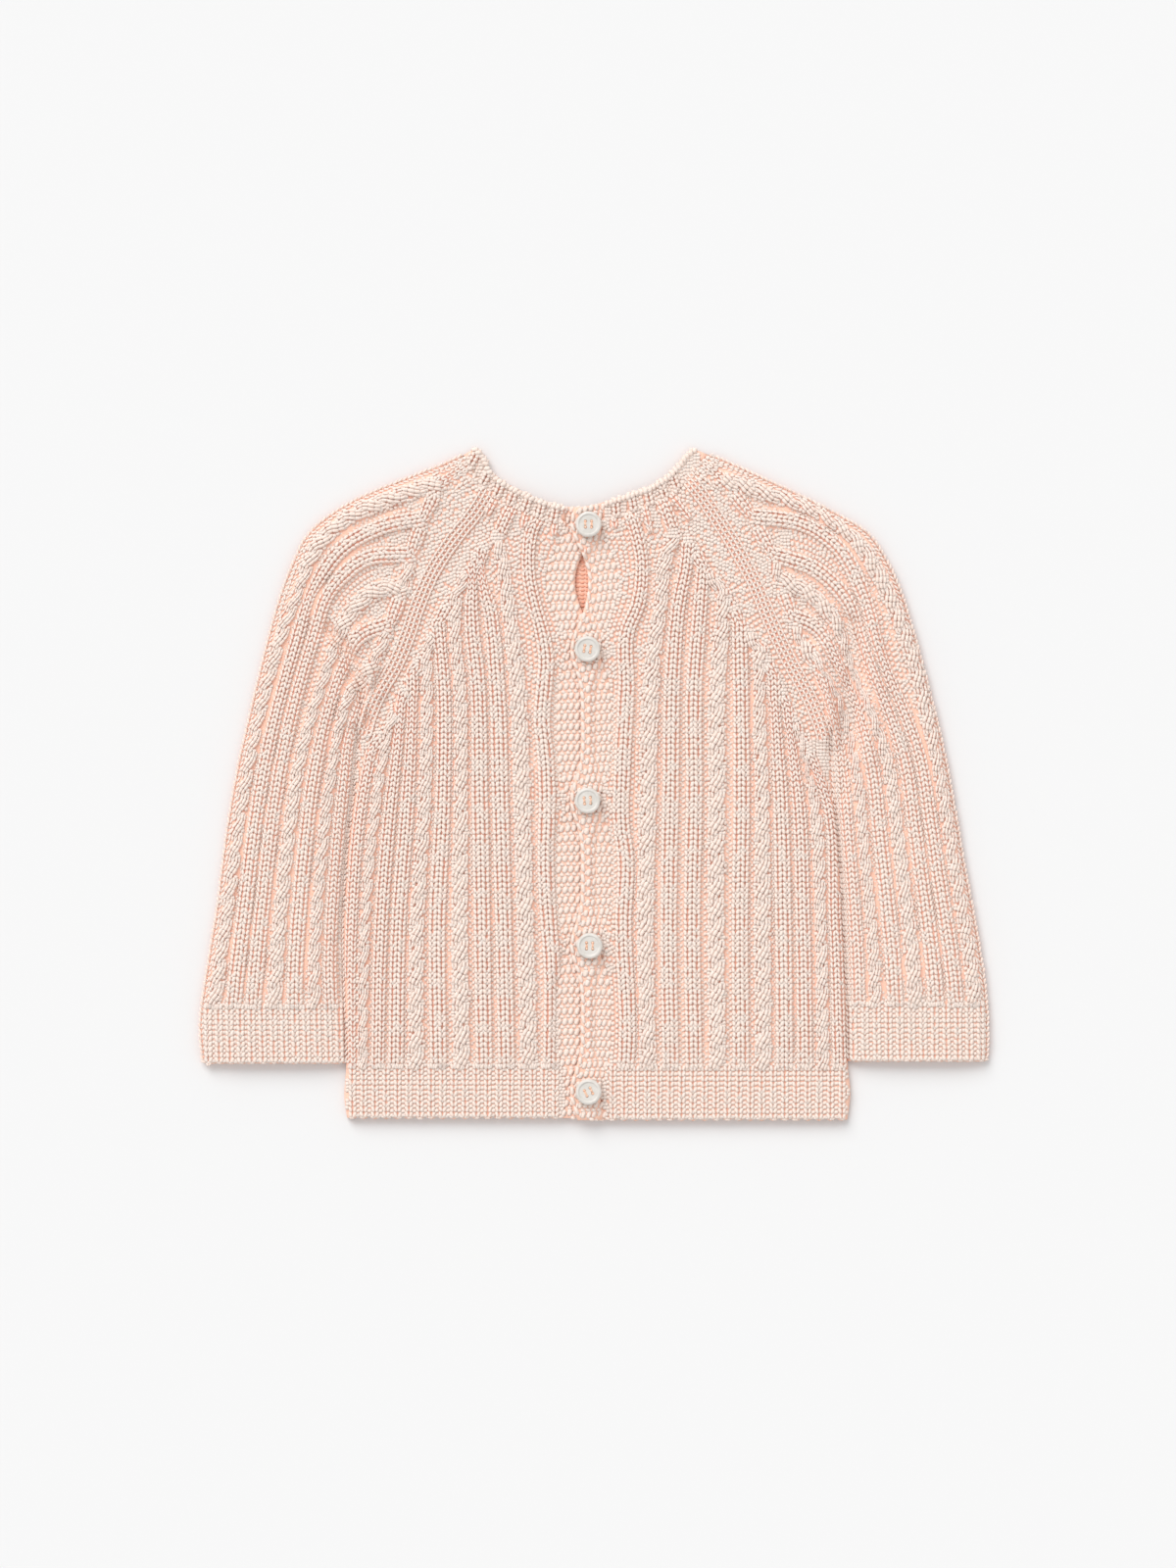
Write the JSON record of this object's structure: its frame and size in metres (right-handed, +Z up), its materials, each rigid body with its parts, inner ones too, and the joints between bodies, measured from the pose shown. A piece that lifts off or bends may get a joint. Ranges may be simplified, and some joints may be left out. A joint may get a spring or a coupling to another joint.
{
  "type": "knitted baby sweater",
  "caption": "Long-sleeved knitted raglan sweater laid flat, back up, with broad ribs and cables, ribbed neck, cuffs and hem, and a buttoned placket down the centre back.",
  "frame": {"origin": "middle of the bounding box's base, on the surface that the sweater lies on", "axes": "+X to the right of the picture, +Y from hem to neck, +Z up, out of the face that shows"},
  "size_m": [0.3698, 0.316, 0.0112],
  "materials": {
    "knit_body": "soft merino wool, pale pink, matt",
    "knit_sleeves": "soft merino wool, pale pink, matt",
    "knit_bands": "soft merino wool, pale pink, matt",
    "button": "pearl-like, softly polished"
  },
  "bodies": {
    "root": {"front": "knit_body", "back_left": "knit_body", "back_right": "knit_body", "sleeve_left": "knit_sleeves", "sleeve_right": "knit_sleeves", "neckband_left": "knit_bands", "neckband_right": "knit_bands", "band_left": "knit_bands", "band_right": "knit_bands", "button_1": "button", "button_2": "button", "button_3": "button", "button_4": "button", "button_5": "button"}
  },
  "joints": []
}
